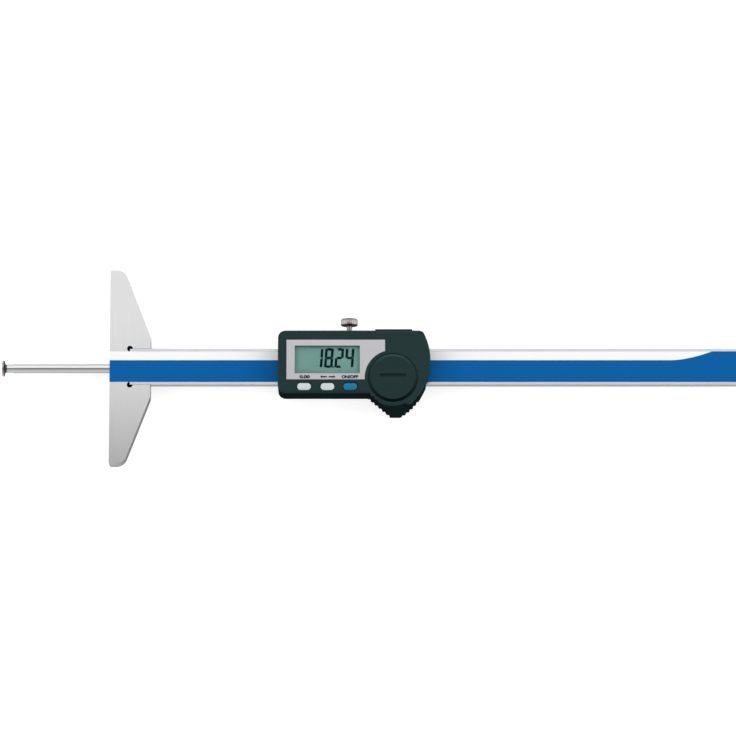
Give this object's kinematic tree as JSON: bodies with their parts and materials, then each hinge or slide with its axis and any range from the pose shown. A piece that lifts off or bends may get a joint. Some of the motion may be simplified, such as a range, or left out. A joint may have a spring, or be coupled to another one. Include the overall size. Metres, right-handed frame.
{
  "type": "digital depth gauge",
  "caption": "Digital depth gauge: steel bridge base on a long beam, a sliding display with buttons, and a round depth rod with a small disc tip.",
  "frame": {"origin": "on the measuring face of the base, on the beam's centre line, at the rear plane", "axes": "+X from the measuring face along the beam, +Y across the beam towards the lock screw, +Z out of the display; the gauge lies on its back on z = 0"},
  "size_m": [0.375, 0.1, 0.0199],
  "materials": {
    "ground_steel": "fine ground, satin",
    "bright_steel": "satin",
    "polished_steel": "polished",
    "dark_steel": "hardened, browned",
    "screw_steel": "plain",
    "nickel": "knurled nickel plate",
    "bronze": "plain",
    "scale_laminate": "glass epoxy with copper",
    "film_white": "printed film",
    "film_blue": "printed film",
    "case_plastic": "fine moulded texture",
    "panel_silver": "satin, printed",
    "clear_plastic": "clear",
    "display_grey_green": "reflective liquid crystal",
    "board_green": "solder mask",
    "chip_black": "moulded epoxy",
    "contact_gold": "gold plate",
    "contact_nickel": "spring sheet",
    "cell_steel": "drawn can",
    "silicone_grey": "matte",
    "seal_black": "matte",
    "button_white": "satin",
    "button_blue": "satin"
  },
  "bodies": {
    "beam_assembly": {"beam": "bright_steel", "base": "ground_steel", "base_screws": "screw_steel", "dowel_pins": "bright_steel", "scale_strip": "scale_laminate", "label_white": "film_white", "label_blue": "film_blue", "end_stop": "screw_steel", "end_stop_screws": "screw_steel"},
    "slider": {"slider_frame": "bright_steel", "gib_strip": "bronze", "gib_screws": "screw_steel", "circuit_board": "board_green", "controller_chip": "chip_black", "display_glass": "display_grey_green", "display_connector": "silicone_grey", "button_membrane": "silicone_grey", "port_contacts": "contact_gold", "battery_cell": "cell_steel", "contact_minus": "contact_nickel", "contact_plus": "contact_nickel", "housing": "case_plastic", "front_panel": "panel_silver", "display_window": "clear_plastic", "housing_screws": "screw_steel", "depth_rod": "polished_steel", "rod_screws": "screw_steel", "measuring_disc": "dark_steel", "disc_screw": "dark_steel"},
    "lock_pad": {"lock_pad": "bronze"},
    "lock_screw": {"lock_screw": "nickel"},
    "button_set": {"button_set": "button_white"},
    "button_unit": {"button_unit": "button_white"},
    "button_power": {"button_power": "button_blue"},
    "battery_cover": {"battery_cover": "case_plastic", "cover_seal": "seal_black"},
    "port_cover": {"port_cover": "case_plastic"}
  },
  "joints": [
    {"name": "slider_slide", "type": "slide", "parent": "beam_assembly", "child": "slider", "axis": [1, 0, 0], "range_m": [-0.0645, 0.052]},
    {"name": "lock_pad_slide", "type": "slide", "parent": "slider", "child": "lock_pad", "axis": [0, -1, 0], "range_m": [0, 0.00025]},
    {"name": "lock_screw_turn", "type": "hinge", "parent": "lock_pad", "child": "lock_screw", "pos_m": [0.1217, 0, 0.0073], "axis": [0, -1, 0], "range_deg": [0, 180]},
    {"name": "button_set_press", "type": "slide", "parent": "slider", "child": "button_set", "axis": [0, 0, -1], "range_m": [0, 0.0005], "stiffness_N_per_m": 400, "springref_m": -0.0005},
    {"name": "button_unit_press", "type": "slide", "parent": "slider", "child": "button_unit", "axis": [0, 0, -1], "range_m": [0, 0.0005], "stiffness_N_per_m": 400, "springref_m": -0.0005},
    {"name": "button_power_press", "type": "slide", "parent": "slider", "child": "button_power", "axis": [0, 0, -1], "range_m": [0, 0.0005], "stiffness_N_per_m": 400, "springref_m": -0.0005},
    {"name": "battery_cover_turn", "type": "hinge", "parent": "slider", "child": "battery_cover", "pos_m": [0.1438, -0.00745, 0.0192], "axis": [0, 0, 1], "range_deg": [0, 60]},
    {"name": "port_cover_slide", "type": "slide", "parent": "slider", "child": "port_cover", "axis": [-1, 0, 0], "range_m": [0, 0.009]}
  ],
  "couplings": [
    {"joint": "lock_screw_turn", "follows": "lock_pad_slide", "rad_per_m": 12566}
  ]
}
